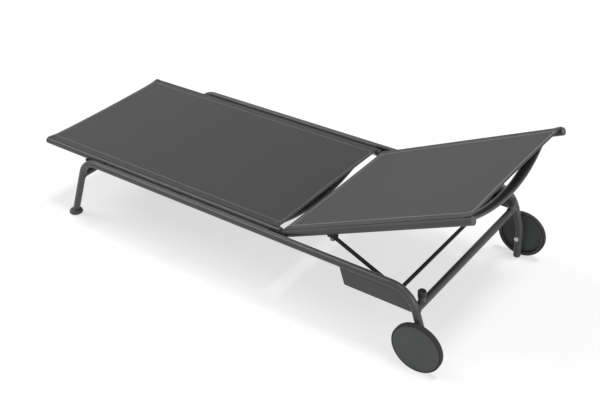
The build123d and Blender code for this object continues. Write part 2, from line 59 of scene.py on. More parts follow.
# Sizes shared with the part's source
TUBE_R = 0.014
RAIL_Y = 0.360
PANEL_Y = 0.322
REST_ANGLE = math.radians(24.0)
FRONT_LEAN = math.radians(23.0)
REAR_LEAN = math.radians(17.0)
BACK_START = -0.0082
BACK_LENGTH = 0.7642
SLOT_TURN = math.radians(8.0)
BOW_DIP = 0.070
BOW_HALF = (0.023, 0.011)
BOW_INSET = 0.072
POST_R = 0.013
ROD_R = 0.007
TYRE_R = 0.093
TYRE_T = 0.006
FRONT_SPACER_L = 0.093
MIDDLE_SPACER_L = 0.040
SADDLE = 0.003


# Meshes

def piece(name, points, faces, finish, body):
    """Object at the origin from points and faces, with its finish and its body."""
    mesh = bpy.data.meshes.new(name)
    mesh.from_pydata(points.tolist(), [], faces)
    mesh.polygons.foreach_set("use_smooth", np.ones(len(mesh.polygons), dtype=bool))
    mesh.materials.append(finish)
    mesh.update()
    made = bpy.data.objects.new(name, mesh)
    bpy.context.scene.collection.objects.link(made)
    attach(made, body)
    return made


def grid_faces(rows, columns, closed_rows=False, closed_columns=False, first=0):
    """Quads between neighbours of a grid of points: first index runs by rows, then by columns."""
    row, column = np.meshgrid(
        np.arange(rows if closed_rows else rows - 1),
        np.arange(columns if closed_columns else columns - 1),
        indexing="ij",
    )
    next_row = (row + 1) % rows
    next_column = (column + 1) % columns
    corners = [
        row * columns + column,
        next_row * columns + column,
        next_row * columns + next_column,
        row * columns + next_column,
    ]
    return first + np.stack(corners, axis=-1).reshape(-1, 4)


def capped_faces(rows, columns):
    """Faces of a bar whose rings turn left about its way: quads round it and a flat face on each end."""
    sides = grid_faces(rows, columns, closed_columns=True)[:, ::-1].tolist()
    start = list(range(columns))[::-1]
    end = list(range((rows - 1) * columns, rows * columns))
    return sides + [start, end]


def repeated_faces(faces, count, stride):
    """The same faces for each of many copies of a shape, shifted by its number of points."""
    return [[corner + copy * stride for corner in face] for copy in range(count) for face in faces]


def stations(start, *stretches):
    """Places along a line: each stretch runs on from the last one to its end in a number of equal steps."""
    places = [np.array([start])]
    for end, steps in stretches:
        places.append(np.linspace(places[-1][-1], end, steps + 1)[1:])
    return np.concatenate(places)


def smoothstep(value, low, high):
    """Zero below low, one above high, and a cubic ease between them."""
    share = np.clip((value - low) / (high - low), 0.0, 1.0)
    return share * share * (3.0 - 2.0 * share)


class Panel:
    """A flat panel of the lounger: its start, tilt and length along its side tubes."""

    def __init__(self, x, z, tilt, start, length):
        self.x, self.z, self.tilt, self.start, self.length = x, z, tilt, start, length

    def place(self, along, across, up):
        """Points in the shared frame: along and up are turned by the tilt about the Y axis, across stays."""
        c, s = math.cos(self.tilt), math.sin(self.tilt)
        along, across, up = np.broadcast_arrays(along, across, up)
        x = self.x + along * c - up * s
        z = self.z + along * s + up * c
        return np.stack([x, across, z], axis=-1)


seat_panel = Panel(foot_edge_x, rail_z, 0.0, 0.0, seat_length)
back_panel = Panel(hinge_x, rail_z, REST_ANGLE, BACK_START, BACK_LENGTH)


# Shader nodes

# A Mix node's sockets for colours, which share their names with its other sockets
MIX_SHARE, MIX_LOW, MIX_HIGH = 0, 6, 7
MIX_COLOUR = 2


class Wire:
    """One output socket of a node tree. Arithmetic on wires and numbers adds Math nodes."""

    def __init__(self, tree, socket=None):
        self.tree, self.socket = tree, socket

    def node(self, kind, settings=None, inputs=None, out=0):
        """Adds a node: its settings first, then the values or wires of its sockets. Returns one output."""
        made = self.tree.nodes.new(kind)
        for key, value in (settings or {}).items():
            setattr(made, key, value)
        for key, value in (inputs or {}).items():
            if isinstance(value, Wire):
                self.tree.links.new(value.socket, made.inputs[key])
            else:
                made.inputs[key].default_value = value
        return Wire(self.tree, made.outputs[out])

    def output(self, name):
        """Another output of the same node."""
        return Wire(self.tree, self.socket.node.outputs[name])

    def maths(self, operation, *values):
        """A Math node on wires and numbers, by the name of its operation."""
        return self.node("ShaderNodeMath", {"operation": operation}, dict(enumerate(values)))

    def __add__(self, other):
        return self.maths("ADD", self, other)

    def __sub__(self, other):
        return self.maths("SUBTRACT", self, other)

    def __rsub__(self, other):
        return self.maths("SUBTRACT", other, self)

    def __mul__(self, other):
        return self.maths("MULTIPLY", self, other)

    def __truediv__(self, other):
        return self.maths("DIVIDE", self, other)

    def __rtruediv__(self, other):
        return self.maths("DIVIDE", other, self)

    def __mod__(self, other):
        return self.maths("FLOORED_MODULO", self, other)

    def __rmod__(self, other):
        return self.maths("FLOORED_MODULO", other, self)

    __radd__ = __add__
    __rmul__ = __mul__

    def larger(self, other):
        """The larger of this wire and another value."""
        return self.maths("MAXIMUM", self, other)

    def smaller(self, other):
        """The smaller of this wire and another value."""
        return self.maths("MINIMUM", self, other)

    def above(self, start, slope):
        """Share that grows from zero at a start by a slope and is held at one."""
        return ((self - start) * slope).larger(0.0).smaller(1.0)

    def whole(self):
        """The whole number at or below this wire."""
        return self.maths("FLOOR", self)

    def wave(self):
        """Size of the sine of half turns: zero at whole numbers, one halfway between them."""
        return self.maths("ABSOLUTE", self.maths("SINE", self * math.pi))

    def blend(self, low, high):
        """Colour between two colours by this wire as the share of the second."""
        settings = {"data_type": "RGBA", "clamp_factor": True}
        inputs = {MIX_SHARE: self, MIX_LOW: low, MIX_HIGH: high}
        return self.node("ShaderNodeMix", settings, inputs, out=MIX_COLOUR)

    def bump(self, strength, distance):
        """Normal from this wire as a height."""
        inputs = {"Strength": strength, "Distance": distance, "Height": self}
        return self.node("ShaderNodeBump", None, inputs)

    def noise(self, scale, detail=2.0):
        """Smooth noise from zero to one over this wire's coordinates."""
        inputs = {"Vector": self, "Scale": scale, "Detail": detail}
        return self.node("ShaderNodeTexNoise", None, inputs)


def shade(colour, factor):
    """Opaque colour scaled by a number."""
    return tuple(channel * factor for channel in colour) + (1.0,)


def new_finish(name, constants):
    """Material with a Principled shader whose plain sockets are set. Returns it, a wire and the shader."""
    finish = bpy.data.materials.new(name)
    finish.use_nodes = True
    tree = finish.node_tree
    shader = tree.nodes["Principled BSDF"]
    for key, value in constants.items():
        shader.inputs[key].default_value = value
    return finish, Wire(tree), shader


def feed(finish, shader, wires):
    """Links wires to the shader's sockets by name."""
    for key, wire in wires.items():
        finish.node_tree.links.new(wire.socket, shader.inputs[key])


def object_place(wire):
    """Coordinates of a piece in its own object's frame, which is the shared frame at rest."""
    return wire.node("ShaderNodeTexCoord", out="Object")


ZINC_TINT = (1.0, 1.0, 0.97)

# The weave: its pitch, how far a yarn dives, how fast the painted shade of a gap fades out up a yarn's side,
# and the share of colour left in that painted shade
YARN_PITCH = 0.00125
YARN_DIVE = 0.45
GAP_SHADE_FADE = 1.9
GAP_PAINTED_SHADE = 0.42


def powder_coat(name, colour, roughness, shine):
    """Satin powder coat: fine orange-peel bump, slow colour drift and small pale scuffs."""
    finish, wire, shader = new_finish(name, {"Specular IOR Level": shine})
    place = object_place(wire)
    peel = place.noise(scale=950.0, detail=1.0)
    drift = place.noise(scale=9.0, detail=3.0)
    scuff = place.noise(scale=70.0, detail=4.0)
    scuffed = scuff.above(start=0.66, slope=9.0)
    base = drift.blend(shade(colour, 0.86), shade(colour, 1.14))
    feed(finish, shader, {
        "Base Color": (scuffed * 0.35).blend(base, shade(colour, 1.9)),
        "Roughness": roughness - 0.06 + peel * 0.05 + drift * 0.06 + scuffed * 0.12,
        "Normal": (peel + scuff * 0.15).bump(strength=0.35, distance=0.00012),
    })
    return finish


def moulded(name, colour, roughness, grain, shine=0.22):
    """Moulded plastic: spark-eroded grain, slow colour drift and faint flow marks."""
    finish, wire, shader = new_finish(name, {"Specular IOR Level": shine})
    place = object_place(wire)
    fine = place.noise(scale=grain, detail=2.0)
    drift = place.noise(scale=22.0, detail=3.0)
    feed(finish, shader, {
        "Base Color": (drift * 0.7 + fine * 0.3).blend(shade(colour, 0.8), shade(colour, 1.2)),
        "Roughness": roughness - 0.06 + fine * 0.08 + drift * 0.05,
        "Normal": fine.bump(strength=0.4, distance=0.00015),
    })
    return finish


def rubber(name, colour):
    """Matt tyre rubber: dusty patches and a fine grain."""
    finish, wire, shader = new_finish(name, {"Specular IOR Level": 0.25})
    place = object_place(wire)
    fine = place.noise(scale=1400.0, detail=2.0)
    dust = place.noise(scale=38.0, detail=4.0)
    dusty = dust.above(start=0.45, slope=2.2)
    feed(finish, shader, {
        "Base Color": dusty.blend(shade(colour, 0.8), shade(colour, 1.35)),
        "Roughness": 0.68 + dusty * 0.16,
        "Normal": (fine + dust * 0.4).bump(strength=0.4, distance=0.0002),
    })
    return finish


def zinc(name, level):
    """Zinc plate: cloudy brightness about a level and fine turning marks."""
    finish, wire, shader = new_finish(name, {"Metallic": 1.0})
    place = object_place(wire)
    cloud = place.noise(scale=120.0, detail=3.0)
    marks = place.noise(scale=2200.0, detail=1.0)
    feed(finish, shader, {
        "Base Color": cloud.blend(shade(ZINC_TINT, 0.8 * level), shade(ZINC_TINT, 1.2 * level)),
        "Roughness": 0.26 + cloud * 0.14 + marks * 0.05,
        "Normal": marks.bump(strength=0.25, distance=0.00008),
    })
    return finish


def woven(name, colour, pitch):
    """Open sling weave on the cloth's own UV in metres.

    Warp and weft take turns on top, square by square. A yarn's height is the sine across it, lower where it
    dives under the next one. Shade is painted into the colour in the gaps between yarns and up the yarns' low
    sides, and the two sets of yarns differ a little in colour.
    """
    constants = {"Sheen Weight": 0.29, "Sheen Roughness": 0.5, "Specular IOR Level": 0.15}
    finish, wire, shader = new_finish(name, constants)
    uv = wire.node("ShaderNodeTexCoord", out="UV")
    split = wire.node("ShaderNodeSeparateXYZ", None, {"Vector": uv})
    across = split.output("X") / pitch
    along = split.output("Y") / pitch
    warp, weft = across.wave(), along.wave()
    over = (across.whole() + along.whole()) % 2.0
    warp_top = warp * (1.0 - YARN_DIVE + weft * YARN_DIVE)
    weft_top = weft * (1.0 - YARN_DIVE + warp * YARN_DIVE)
    height = over * warp_top + (1.0 - over) * weft_top
    slub = uv.noise(scale=260.0, detail=3.0)
    patch = uv.noise(scale=5.0, detail=2.0)
    yarn = (over * 0.5 + slub * 0.35 + patch * 0.15).blend(shade(colour, 0.9), shade(colour, 1.3))
    feed(finish, shader, {
        # Painted shade: the gaps between yarns and the yarns' low sides are darkened in the base colour
        "Base Color": (height * GAP_SHADE_FADE).smaller(1.0).blend(shade(colour, GAP_PAINTED_SHADE), yarn),
        "Roughness": 0.78 - height * 0.14 + slub * 0.08,
        "Normal": height.bump(strength=0.55, distance=0.0003),
    })
    return finish


def thread(name, colour):
    """Sewing thread of one colour: fine noise paints the light and shade of its twisted plies into the colour
    and varies its roughness.
    """
    finish, wire, shader = new_finish(name, {"Sheen Weight": 0.3, "Specular IOR Level": 0.3})
    place = object_place(wire)
    ply_shade_and_roughness = place.noise(scale=1800.0, detail=1.0)
    feed(finish, shader, {
        # Painted shade and highlight of the twisted plies in the base colour
        "Base Color": ply_shade_and_roughness.blend(shade(colour, 0.75), shade(colour, 1.2)),
        "Roughness": 0.6 + ply_shade_and_roughness * 0.15,
    })
    return finish


FRAME_GREY = (0.055, 0.0565, 0.0565)
SLING_GREY = (0.0340, 0.0350, 0.0345)
CAP_GREY = (0.075, 0.077, 0.077)
FOOT_GREY = (0.068, 0.069, 0.069)
BLACK = (0.012, 0.012, 0.012)
PAD_GREY = (0.030, 0.030, 0.030)
SPACER_GREY = (0.021, 0.021, 0.021)
PROP_GREY = (0.017, 0.0175, 0.0175)
WHEEL_GREY = (0.073, 0.077, 0.076)
TYRE_GREY = (0.028, 0.028, 0.0275)
THREAD_GREY = (0.25, 0.255, 0.25)

frame_coat = powder_coat("satin_powder_coat", FRAME_GREY, roughness=0.34, shine=0.34)
prop_coat = powder_coat("dark_powder_coat", PROP_GREY, roughness=0.44, shine=0.16)
cap_finish = moulded("cap_moulding", CAP_GREY, roughness=0.44, grain=900.0)
foot_finish = moulded("foot_moulding", FOOT_GREY, roughness=0.5, grain=800.0)
pad_finish = moulded("pad_moulding", PAD_GREY, roughness=0.5, grain=900.0)
spacer_finish = moulded("spacer_moulding", SPACER_GREY, roughness=0.55, grain=1000.0, shine=0.14)
black_finish = moulded("black_moulding", BLACK, roughness=0.62, grain=1100.0, shine=0.08)
wheel_finish = moulded("wheel_moulding", WHEEL_GREY, roughness=0.52, grain=1000.0)
tyre_finish = rubber("tyre_rubber", TYRE_GREY)
bright_finish = zinc("bright_zinc", level=0.52)
bolt_finish = zinc("dark_zinc", level=0.20)
sling_finish = woven("sling_weave", SLING_GREY, YARN_PITCH)
thread_finish = thread("pale_thread", THREAD_GREY)

slot_finishes = {
    "coated_aluminium": frame_coat,
    "sling_fabric": sling_finish,
    "cap_plastic": cap_finish,
    "black_plastic": black_finish,
    "wheel_plastic": wheel_finish,
    "tyre_rubber": tyre_finish,
    "bright_steel": bright_finish,
}
node_finishes = {
    "front_foot": foot_finish,
    "rear_leg_plug": foot_finish,
    "rest_pad": pad_finish,
    "seat_spacers": spacer_finish,
    "prop_arm": prop_coat,
    "prop_rod": prop_coat,
    "prop_bracket": prop_coat,
    "prop_bolts": bolt_finish,
    "prop_nuts": bolt_finish,
}
for part in frame["record"]["subparts"]:
    finish = slot_finishes[part["material_slot"]]
    for start, own_finish in node_finishes.items():
        if part["node"].startswith(start):
            finish = own_finish
    node = nodes[part["node"]]
    node.data.materials.clear()
    node.data.materials.append(finish)


# Slings

# The cloth: its wall, its way round the tubes, its hems, its sag and its seams
CLOTH_T = 0.0012
CLOTH_R = TUBE_R + 0.0008
CLOTH_TAIL = 0.0036
HEM = 0.016
THIN_ROLL = 0.0006
THICK_ROLL = 0.0010
STITCH_Y = 0.294
SEAT_SAG = 0.0040
BACK_SAG = 0.0030
SEAM_DENT = 0.0007
SEAM_DENT_W = 0.0022

# Where the hem's lift fades along the cloth and grows towards the tubes, and how far the flares reach
LIFT_FADE = (HEM - 0.002, HEM + 0.012)
LIFT_GROWTH = (STITCH_Y - 0.020, PANEL_Y - 0.010)
FLARE_L = 0.110
CORNER_POWER = 12

# Where the cloth's grid changes its step: near the ends along it, and beside the seams across it
FINE_END_L = 0.030
END_L = 0.120
BAY_HALF = 0.260
SEAM_HALF = 0.006

# Stitches: their rows, their strands, and the share of a strand's radius by which it stands on the cloth
STITCH_STEP = 0.0052
ROW_END_GAP = 0.006
ROW_SIDE_GAP = 0.004
STITCH_L = 0.0047
STITCH_TAPER = 0.94
STITCH_DIP = 0.0006
STITCH_RINGS = 5
STITCH_SIDES = 6
STITCH_STAND = 0.57
NUDGE = 1e-4


class Sling:
    """Cloth stretched over a panel's two side tubes, hemmed at both ends."""

    def __init__(self, panel, sag, flares, trims, seams, thread_r):
        self.panel, self.sag, self.flares, self.thread_r = panel, sag, flares, thread_r
        self.start, self.length = panel.start + trims[0], panel.length - sum(trims)
        self.start_rows, self.end_rows, self.side_rows = seams
        self.arc = CLOTH_R * SLOT_TURN
        self.half_width = PANEL_Y + self.arc + CLOTH_TAIL
        self.flat_length = self.length + 2.0 * HEM + math.pi * (THIN_ROLL + THICK_ROLL)

    def section(self, across, lift):
        """Across and up of the cloth at a distance from its middle line.

        Flat and sagging between the tubes' crowns, with a dent along the seam; then an arc about the tube's
        axis as far as the slot, and straight in towards the axis. Lift adds to the height or to the arc's
        radius.
        """
        side, reach = np.sign(across), np.abs(across)
        turn = np.clip((reach - PANEL_Y) / CLOTH_R, 0.0, SLOT_TURN)
        radius = CLOTH_R + lift - np.clip(reach - PANEL_Y - self.arc, 0.0, None)
        bay = np.clip(1.0 - (reach / PANEL_Y) ** 2, 0.0, None)
        seam = SEAM_DENT * np.exp(-(((reach - STITCH_Y) / SEAM_DENT_W) ** 2))
        flat_y = np.minimum(reach, PANEL_Y)
        y = flat_y + radius * np.sin(turn)
        up = radius * np.cos(turn) - self.sag * bay - seam
        return side * y, up

    def cloth(self, along, across):
        """Panel points of the cloth at lengths along it, hems included, and distances from its middle line.

        Past each end the cloth rolls under on a half circle and runs back as the hem's lower layer. Over the
        tubes the hem's upper layer is lifted by the roll's height, so that the lower layer lies on the tube.
        A flare that grows with the square of the distance from the middle line draws the ends out towards
        the tubes, and at the start a high power of it draws out the corners alone.
        """
        length = self.length
        before = np.clip(-along, 0.0, None)
        after = np.clip(along - length, 0.0, None)
        beyond = np.maximum(before, after)
        roll = np.where(along < length / 2, THIN_ROLL, THICK_ROLL)
        angle = np.clip(beyond / roll, 0.0, math.pi)
        out = roll * np.sin(angle) - np.clip(beyond - math.pi * roll, 0.0, None)
        place = np.clip(along, 0.0, length) + np.where(after > 0, out, -out)
        edge = np.minimum(np.clip(along, 0.0, length), length - np.clip(along, 0.0, length))
        over_tube = 2.0 * roll * smoothstep(np.abs(across), *LIFT_GROWTH)
        raised = over_tube * (1.0 - smoothstep(edge, *LIFT_FADE))
        lift = np.where(beyond > 0, roll * (np.cos(angle) - 1.0) + over_tube, raised)
        reach = np.clip(np.abs(across) / PANEL_Y, 0.0, 1.0)
        start_flare, end_flare, start_corner = self.flares
        start_pull = start_flare * reach**2 + start_corner * reach**CORNER_POWER
        pull = end_flare * reach**2 * smoothstep(place, length - FLARE_L, length)
        pull -= start_pull * (1.0 - smoothstep(place, 0.0, FLARE_L))
        y, up = self.section(across, lift)
        return self.start + place + pull, y, up

    def points(self, along, across):
        """Points of the cloth in the shared frame."""
        return self.panel.place(*self.cloth(along, across))

    def sheet(self, name, body, node):
        """The cloth as one grid, given its thickness by Solidify, with UV in metres of flat cloth."""
        length = self.length
        start_fold, end_fold = (
            stations(0.0, (math.pi * roll, 5), (math.pi * roll + HEM, 4))[1:]
            for roll in (THIN_ROLL, THICK_ROLL)
        )
        inside = stations(0.0, (FINE_END_L, 12), (END_L, 11))
        middle = stations(END_L, (length - END_L, 69))[1:-1]
        along = np.concatenate([-start_fold[::-1], inside, middle, length - inside[::-1], length + end_fold])
        half = stations(
            0.0,
            (BAY_HALF, 19),
            (STITCH_Y - SEAM_HALF, 5),
            (STITCH_Y + SEAM_HALF, 8),
            (PANEL_Y, 5),
            (PANEL_Y + self.arc, 7),
            (self.half_width, 2),
        )
        across = np.concatenate([-half[:0:-1], half])
        grid_along, grid_across = np.meshgrid(along, across, indexing="ij")
        points = self.points(grid_along, grid_across).reshape(-1, 3)
        faces = grid_faces(len(along), len(across))
        made = piece(name, points, faces.tolist(), sling_finish, body)
        layer = made.data.uv_layers.new(name="cloth")
        flat = np.stack([grid_across, grid_along], axis=-1).reshape(-1, 2)
        layer.data.foreach_set("uv", flat[faces.ravel()].ravel())
        wall = made.modifiers.new("thickness", "SOLIDIFY")
        wall.thickness = CLOTH_T
        wall.offset = 0.0
        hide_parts(node)
        return made

    def stitching(self, name, body):
        """Pale lockstitches in rows along both side seams and both hems."""
        length = self.length
        lengthwise = np.arange(ROW_END_GAP, length - ROW_END_GAP, STITCH_STEP)
        crosswise = np.arange(-STITCH_Y + ROW_SIDE_GAP, STITCH_Y - ROW_SIDE_GAP, STITCH_STEP)
        rows = [
            (lengthwise, np.full_like(lengthwise, side * (STITCH_Y + shift)), 0)
            for side in (-1, 1)
            for shift in self.side_rows
        ]
        hem_places = list(self.start_rows) + [length - edge for edge in self.end_rows]
        rows += [(np.full_like(crosswise, place), crosswise, 1) for place in hem_places]
        along = np.concatenate([row[0] for row in rows])
        across = np.concatenate([row[1] for row in rows])
        turned = np.concatenate([np.full(len(row[0]), row[2]) for row in rows])[:, None]
        centre = self.points(along, across)
        run = self.points(along + NUDGE, across) - centre
        cross = self.points(along, across + NUDGE) - centre
        run /= np.linalg.norm(run, axis=1, keepdims=True)
        cross /= np.linalg.norm(cross, axis=1, keepdims=True)
        upward = np.cross(run, cross)
        upward *= np.sign(upward[:, 2:3])
        forward = np.where(turned == 1, cross, run)
        sideways = np.cross(upward, forward)
        centre += upward * (CLOTH_T / 2 + STITCH_STAND * self.thread_r)
        return stitches(name, centre, forward, sideways, upward, self.thread_r, body)


def stitches(name, centre, forward, sideways, upward, radius, body):
    """One small strand per place: a bar whose radius follows the root of a cosine and whose ends dip."""
    share = np.linspace(-STITCH_TAPER, STITCH_TAPER, STITCH_RINGS)
    around = np.arange(STITCH_SIDES) * 2.0 * math.pi / STITCH_SIDES
    width = radius * np.sqrt(np.cos(share * math.pi / 2.0))
    x = np.repeat(share * STITCH_L / 2.0, STITCH_SIDES)
    y = np.outer(width, np.cos(around)).ravel()
    z = np.outer(width, np.sin(around)).ravel() - np.repeat(STITCH_DIP * share**4, STITCH_SIDES)
    points = (
        centre[:, None, :]
        + forward[:, None, :] * x[None, :, None]
        + sideways[:, None, :] * y[None, :, None]
        + upward[:, None, :] * z[None, :, None]
    )
    strand = capped_faces(STITCH_RINGS, STITCH_SIDES)
    faces = repeated_faces(strand, len(centre), STITCH_RINGS * STITCH_SIDES)
    return piece(name, points.reshape(-1, 3), faces, thread_finish, body)


def hang_sling(name, sling, body, node):
    cloth = sling.sheet(f"{name}_fabric", body, node)
    seams = sling.stitching(f"{name}_stitching", body)


# Flares at the start, the end and the start's corners, and trims at the start and the end
SEAT_FLARES, SEAT_TRIMS = (0.0005, 0.0065, 0.0070), (-0.0025, 0.0068)
BACK_FLARES, BACK_TRIMS = (-0.0035, 0.0105, 0.0), (-0.0040, 0.0010)

# Rows of stitches: distances from the start, from the end, and from the line of each side seam
SEAT_SEAMS = ((0.0078, 0.0108), (0.0078, 0.0108), (-0.0015, 0.0015))
BACK_SEAMS = ((0.0180, 0.0215), (0.0070, 0.0092, 0.0114), (-0.0021, 0.0, 0.0021))
SEAT_THREAD_R = 0.00068
BACK_THREAD_R = 0.00100

seat_sling = Sling(seat_panel, SEAT_SAG, SEAT_FLARES, SEAT_TRIMS, SEAT_SEAMS, SEAT_THREAD_R)
back_sling = Sling(back_panel, BACK_SAG, BACK_FLARES, BACK_TRIMS, BACK_SEAMS, BACK_THREAD_R)
hang_sling("seat", seat_sling, "base", "seat_sling")
hang_sling("back", back_sling, "back", "back_sling")


# Welds

WELD_R = 0.0030
PROP_WELD_R = 0.0020

# A bead's ripples: depth as a share of its radius, waves round the joint, and shift in radians
WELD_RIPPLES = ((0.10, 32, 0.0), (0.06, 5, 1.0))

# How far before its joint each branch starts
BOW_RUN = 0.10
POST_RUN = 0.05
ARM_RUN = 0.05

Y_WAY = np.array([0.0, 1.0, 0.0])


def swept_ring(path, radius_along, sides=10):
    """Closed bead: a circle carried round a closed path, square to it, with a radius for each place."""
    tangent = np.roll(path, -1, axis=0) - np.roll(path, 1, axis=0)
    tangent /= np.linalg.norm(tangent, axis=1, keepdims=True)
    outward = path - path.mean(axis=0)
    outward -= tangent * np.sum(outward * tangent, axis=1, keepdims=True)
    outward /= np.linalg.norm(outward, axis=1, keepdims=True)
    third = np.cross(tangent, outward)
    around = np.arange(sides) * 2.0 * math.pi / sides
    ring = outward[:, None, :] * np.cos(around)[None, :, None]
    ring = ring + third[:, None, :] * np.sin(around)[None, :, None]
    return path[:, None, :] + ring * radius_along[:, None, None]


def cope_path(main, branch, count=96):
    """Curve where a round or oval branch meets a round main tube.

    Each line of the branch's surface is followed along the branch until its distance from the main tube's
    axis is the main tube's radius: the nearer root of a quadratic.
    """
    main_point, main_way, main_r = main
    start, way, side, half_side, half_up = branch
    up = np.cross(way, side)
    around = np.arange(count) * 2.0 * math.pi / count
    rim = start + np.outer(np.cos(around) * half_side, side) + np.outer(np.sin(around) * half_up, up)
    flat_way = way - main_way * np.dot(way, main_way)
    gap = rim - main_point
    flat_gap = gap - np.outer(gap @ main_way, main_way)
    a = flat_way @ flat_way
    b = flat_gap @ flat_way
    c = np.sum(flat_gap * flat_gap, axis=1) - main_r**2
    reach = (-b - np.sqrt(np.clip(b * b - a * c, 0.0, None))) / a
    return rim + np.outer(reach, way)


def unit(x, y, z):
    """Direction of length one."""
    way = np.array([x, y, z], dtype=float)
    return way / np.linalg.norm(way)


def weld_piece(name, body, joints, size=WELD_R, finish=frame_coat):
    """Weld beads of several joints as one piece: each bead's radius ripples along its path by cosines."""
    points, faces, first = [], [], 0
    for main, branch in joints:
        path = cope_path(main, branch)
        count = len(path)
        turn = np.arange(count) * 2.0 * math.pi / count
        ripple = 1.0 + sum(depth * np.cos(turn * waves + shift) for depth, waves, shift in WELD_RIPPLES)
        ring = swept_ring(path, size * ripple)
        points.append(ring.reshape(-1, 3))
        faces.append(grid_faces(count, ring.shape[1], True, True, first)[:, ::-1])
        first += ring.shape[0] * ring.shape[1]
    beads = np.concatenate(faces).tolist()
    return piece(name, np.concatenate(points), beads, finish, body)


def box_middle(node):
    """Middle of a CAD node's box."""
    low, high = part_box(node)
    return np.array((low + high) / 2)


def cross_tube_joints(node, lean):
    """Both ends of a cross tube against its leaning legs."""
    middle = box_middle(node)
    leg_way = unit(math.sin(lean), 0.0, math.cos(lean))
    joints = []
    for side in (-1, 1):
        leg_point = middle + side * RAIL_Y * Y_WAY
        joints.append(((leg_point, leg_way, TUBE_R), (middle, side * Y_WAY, unit(1, 0, 0), TUBE_R, TUBE_R)))
    return joints


def bow_joints(panel, along):
    """Both ends of a bow against a panel's side tubes: the bow's end follows its arc's slope."""
    arc_r = (PANEL_Y**2 + BOW_DIP**2) / (2.0 * BOW_DIP)
    slope = math.asin(PANEL_Y / arc_r)
    tube_way = panel.place(1.0, 0.0, 0.0) - panel.place(0.0, 0.0, 0.0)
    normal = panel.place(0.0, 0.0, 1.0) - panel.place(0.0, 0.0, 0.0)
    joints = []
    for side in (-1, 1):
        tube_point = panel.place(along, side * PANEL_Y, 0.0)
        way = side * math.cos(slope) * Y_WAY + math.sin(slope) * normal
        start = tube_point - BOW_RUN * way
        joints.append(((tube_point, tube_way, TUBE_R), (start, way, tube_way, *BOW_HALF)))
    return joints


def post_joints():
    """Rest posts on the rear cross tube."""
    tube_point = box_middle("rear_cross_tube")
    down = unit(0, 0, -1)
    joints = []
    for side in (-1, 1):
        start = tube_point + side * PANEL_Y * Y_WAY - POST_RUN * down
        joints.append(((tube_point, Y_WAY, TUBE_R), (start, down, unit(1, 0, 0), POST_R, POST_R)))
    return joints


def arm_joints():
    """Prop arms on the prop's cross rod."""
    rod = box_middle("prop_rod")
    bolts = box_middle("prop_bolts")
    way = unit(rod[0] - bolts[0], 0.0, rod[2] - bolts[2])
    joints = []
    for side in (-1, 1):
        rod_point = rod + side * PANEL_Y * Y_WAY
        joints.append(((rod_point, Y_WAY, ROD_R), (rod_point - ARM_RUN * way, way, Y_WAY, ROD_R, ROD_R)))
    return joints


seat_middle = (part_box("seat_tube_left")[0].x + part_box("seat_tube_left")[1].x) / 2 - foot_edge_x
back_end = BACK_START + BACK_LENGTH
weld_piece("front_cross_welds", "base", cross_tube_joints("front_cross_tube", FRONT_LEAN))
weld_piece("rear_cross_welds", "base", cross_tube_joints("rear_cross_tube", -REAR_LEAN) + post_joints())
weld_piece("seat_bow_welds", "base", [
    joint
    for along in (BOW_INSET, seat_middle, seat_length - BOW_INSET)
    for joint in bow_joints(seat_panel, along)
])
weld_piece("back_bow_welds", "back", [
    joint
    for along in (BACK_START + BOW_INSET, back_end - BOW_INSET)
    for joint in bow_joints(back_panel, along)
])
weld_piece("prop_welds", "prop", arm_joints(), size=PROP_WELD_R, finish=prop_coat)


# Tyres

TYRE_CORNER = 0.004
TYRE_STEPS = 288
CORNER_STEPS = 6
TREAD_STEPS = 32

# Grooves at both sides of the middle, and notches over part of each shoulder
GROOVE_Y = 0.0052
GROOVE_W = 0.0007
GROOVE_DEPTH = 0.0011
SHOULDER_RISE = (0.0058, 0.0066)
SHOULDER_FALL = (0.0082, 0.0100)
NOTCH_DEPTH = 0.0006
NOTCH_COUNT = 72
NOTCH_LEVEL = 0.3


def tyre(name, node, body):
    """Tyre as a profile turned about the axle: a rounded band with two thin grooves and notched shoulders."""
    low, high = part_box(node)
    middle = np.array((low + high) / 2)
    half = (high.y - low.y) / 2
    inner = TYRE_R - TYRE_T
    bend = stations(0.0, (math.pi / 2, CORNER_STEPS))
    edge = half - TYRE_CORNER
    tread = stations(-edge, (edge, TREAD_STEPS))
    across = np.concatenate([
        [-half],
        -edge - TYRE_CORNER * np.cos(bend),
        tread[1:-1],
        edge + TYRE_CORNER * np.sin(bend),
        [half],
    ])
    radius = np.concatenate([
        [inner],
        TYRE_R - TYRE_CORNER + TYRE_CORNER * np.sin(bend),
        np.full(len(tread) - 2, TYRE_R),
        TYRE_R - TYRE_CORNER + TYRE_CORNER * np.cos(bend),
        [inner],
    ])
    reach = np.abs(across)
    groove = GROOVE_DEPTH * np.exp(-(((reach - GROOVE_Y) / GROOVE_W) ** 2))
    angle = stations(0.0, (2.0 * math.pi, TYRE_STEPS))[:-1, None]
    shoulder = smoothstep(reach, *SHOULDER_RISE) * (1.0 - smoothstep(reach, *SHOULDER_FALL))
    notch = NOTCH_DEPTH * shoulder[None, :] * (np.cos(angle * NOTCH_COUNT) > NOTCH_LEVEL)
    turned = radius[None, :] - groove[None, :] - notch
    points = np.stack([
        middle[0] + turned * np.cos(angle),
        np.broadcast_to(middle[1] + across[None, :], turned.shape),
        middle[2] + turned * np.sin(angle),
    ], axis=-1)
    faces = grid_faces(len(angle), len(across), True, True)[:, ::-1]
    made = piece(name, points.reshape(-1, 3), faces.tolist(), tyre_finish, body)
    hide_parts(node)


tyre("tyre_left", "wheel_tyre_left", "wheel_left")
tyre("tyre_right", "wheel_tyre_right", "wheel_right")


# Seat spacers

# The crown's height above the tubes' axes, and at the foot end the lip's height, the tongue and the rise
SPACER_CROWN = 0.004
SPACER_LIP = 0.0075
SPACER_TONGUE = 0.006
SPACER_RISE_L = 0.035
SPACER_STEPS = 39
SADDLE_STEPS = 7


